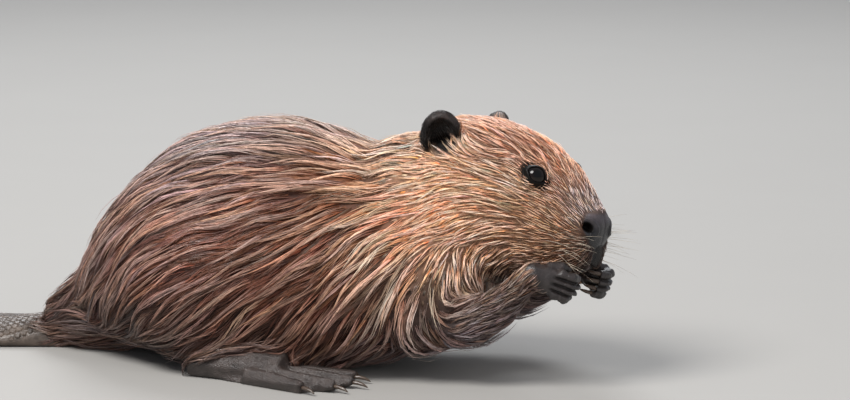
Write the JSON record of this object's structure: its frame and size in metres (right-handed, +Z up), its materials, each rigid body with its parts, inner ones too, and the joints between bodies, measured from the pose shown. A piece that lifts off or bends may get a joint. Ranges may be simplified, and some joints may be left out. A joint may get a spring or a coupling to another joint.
{
  "type": "beaver",
  "caption": "Life-size beaver, crouching on its hind feet, belly and flat tail, with its forepaws held up to its mouth.",
  "frame": {"origin": "on the floor, under the middle of the whole animal's box, tail included", "axes": "+X towards the head, +Y the animal's left, +Z up"},
  "size_m": [0.6618, 0.2862, 0.2151],
  "materials": {
    "head_coat": "damp fur, orange-brown on the crown and paler tan on the cheeks",
    "body_coat": "wet guard hair in long pointed locks, dark brown with reddish tips",
    "nose_skin": "bare black skin, moist",
    "ear_skin": "black skin under very short hair",
    "foot_skin": "dark scaly skin, wet",
    "tail_skin": "bare scaly skin, grey-brown",
    "eye": "wet black eyeball",
    "claw": "dark horn"
  },
  "bodies": {
    "root": {"abdomen": "body_coat", "chest": "body_coat", "ear_L": "ear_skin", "ear_R": "ear_skin", "eye_L": "eye", "eye_R": "eye", "finger_claw_L1": "claw", "finger_claw_L2": "claw", "finger_claw_L3": "claw", "finger_claw_L4": "claw", "finger_claw_L5": "claw", "finger_claw_R1": "claw", "finger_claw_R2": "claw", "finger_claw_R3": "claw", "finger_claw_R4": "claw", "finger_claw_R5": "claw", "forearm_L": "body_coat", "forearm_R": "body_coat", "forepaw_L": "foot_skin", "forepaw_R": "foot_skin", "head": "head_coat", "hind_foot_L": "foot_skin", "hind_foot_R": "foot_skin", "lower_jaw": "head_coat", "muzzle": "head_coat", "neck": "head_coat", "nose": "nose_skin", "rump": "body_coat", "tail": "tail_skin", "tail_root": "body_coat", "thigh_L": "body_coat", "thigh_R": "body_coat", "toe_claw_L1": "claw", "toe_claw_L2": "claw", "toe_claw_L3": "claw", "toe_claw_L4": "claw", "toe_claw_L5": "claw", "toe_claw_R1": "claw", "toe_claw_R2": "claw", "toe_claw_R3": "claw", "toe_claw_R4": "claw", "toe_claw_R5": "claw", "upper_arm_L": "body_coat", "upper_arm_R": "body_coat"}
  },
  "joints": []
}
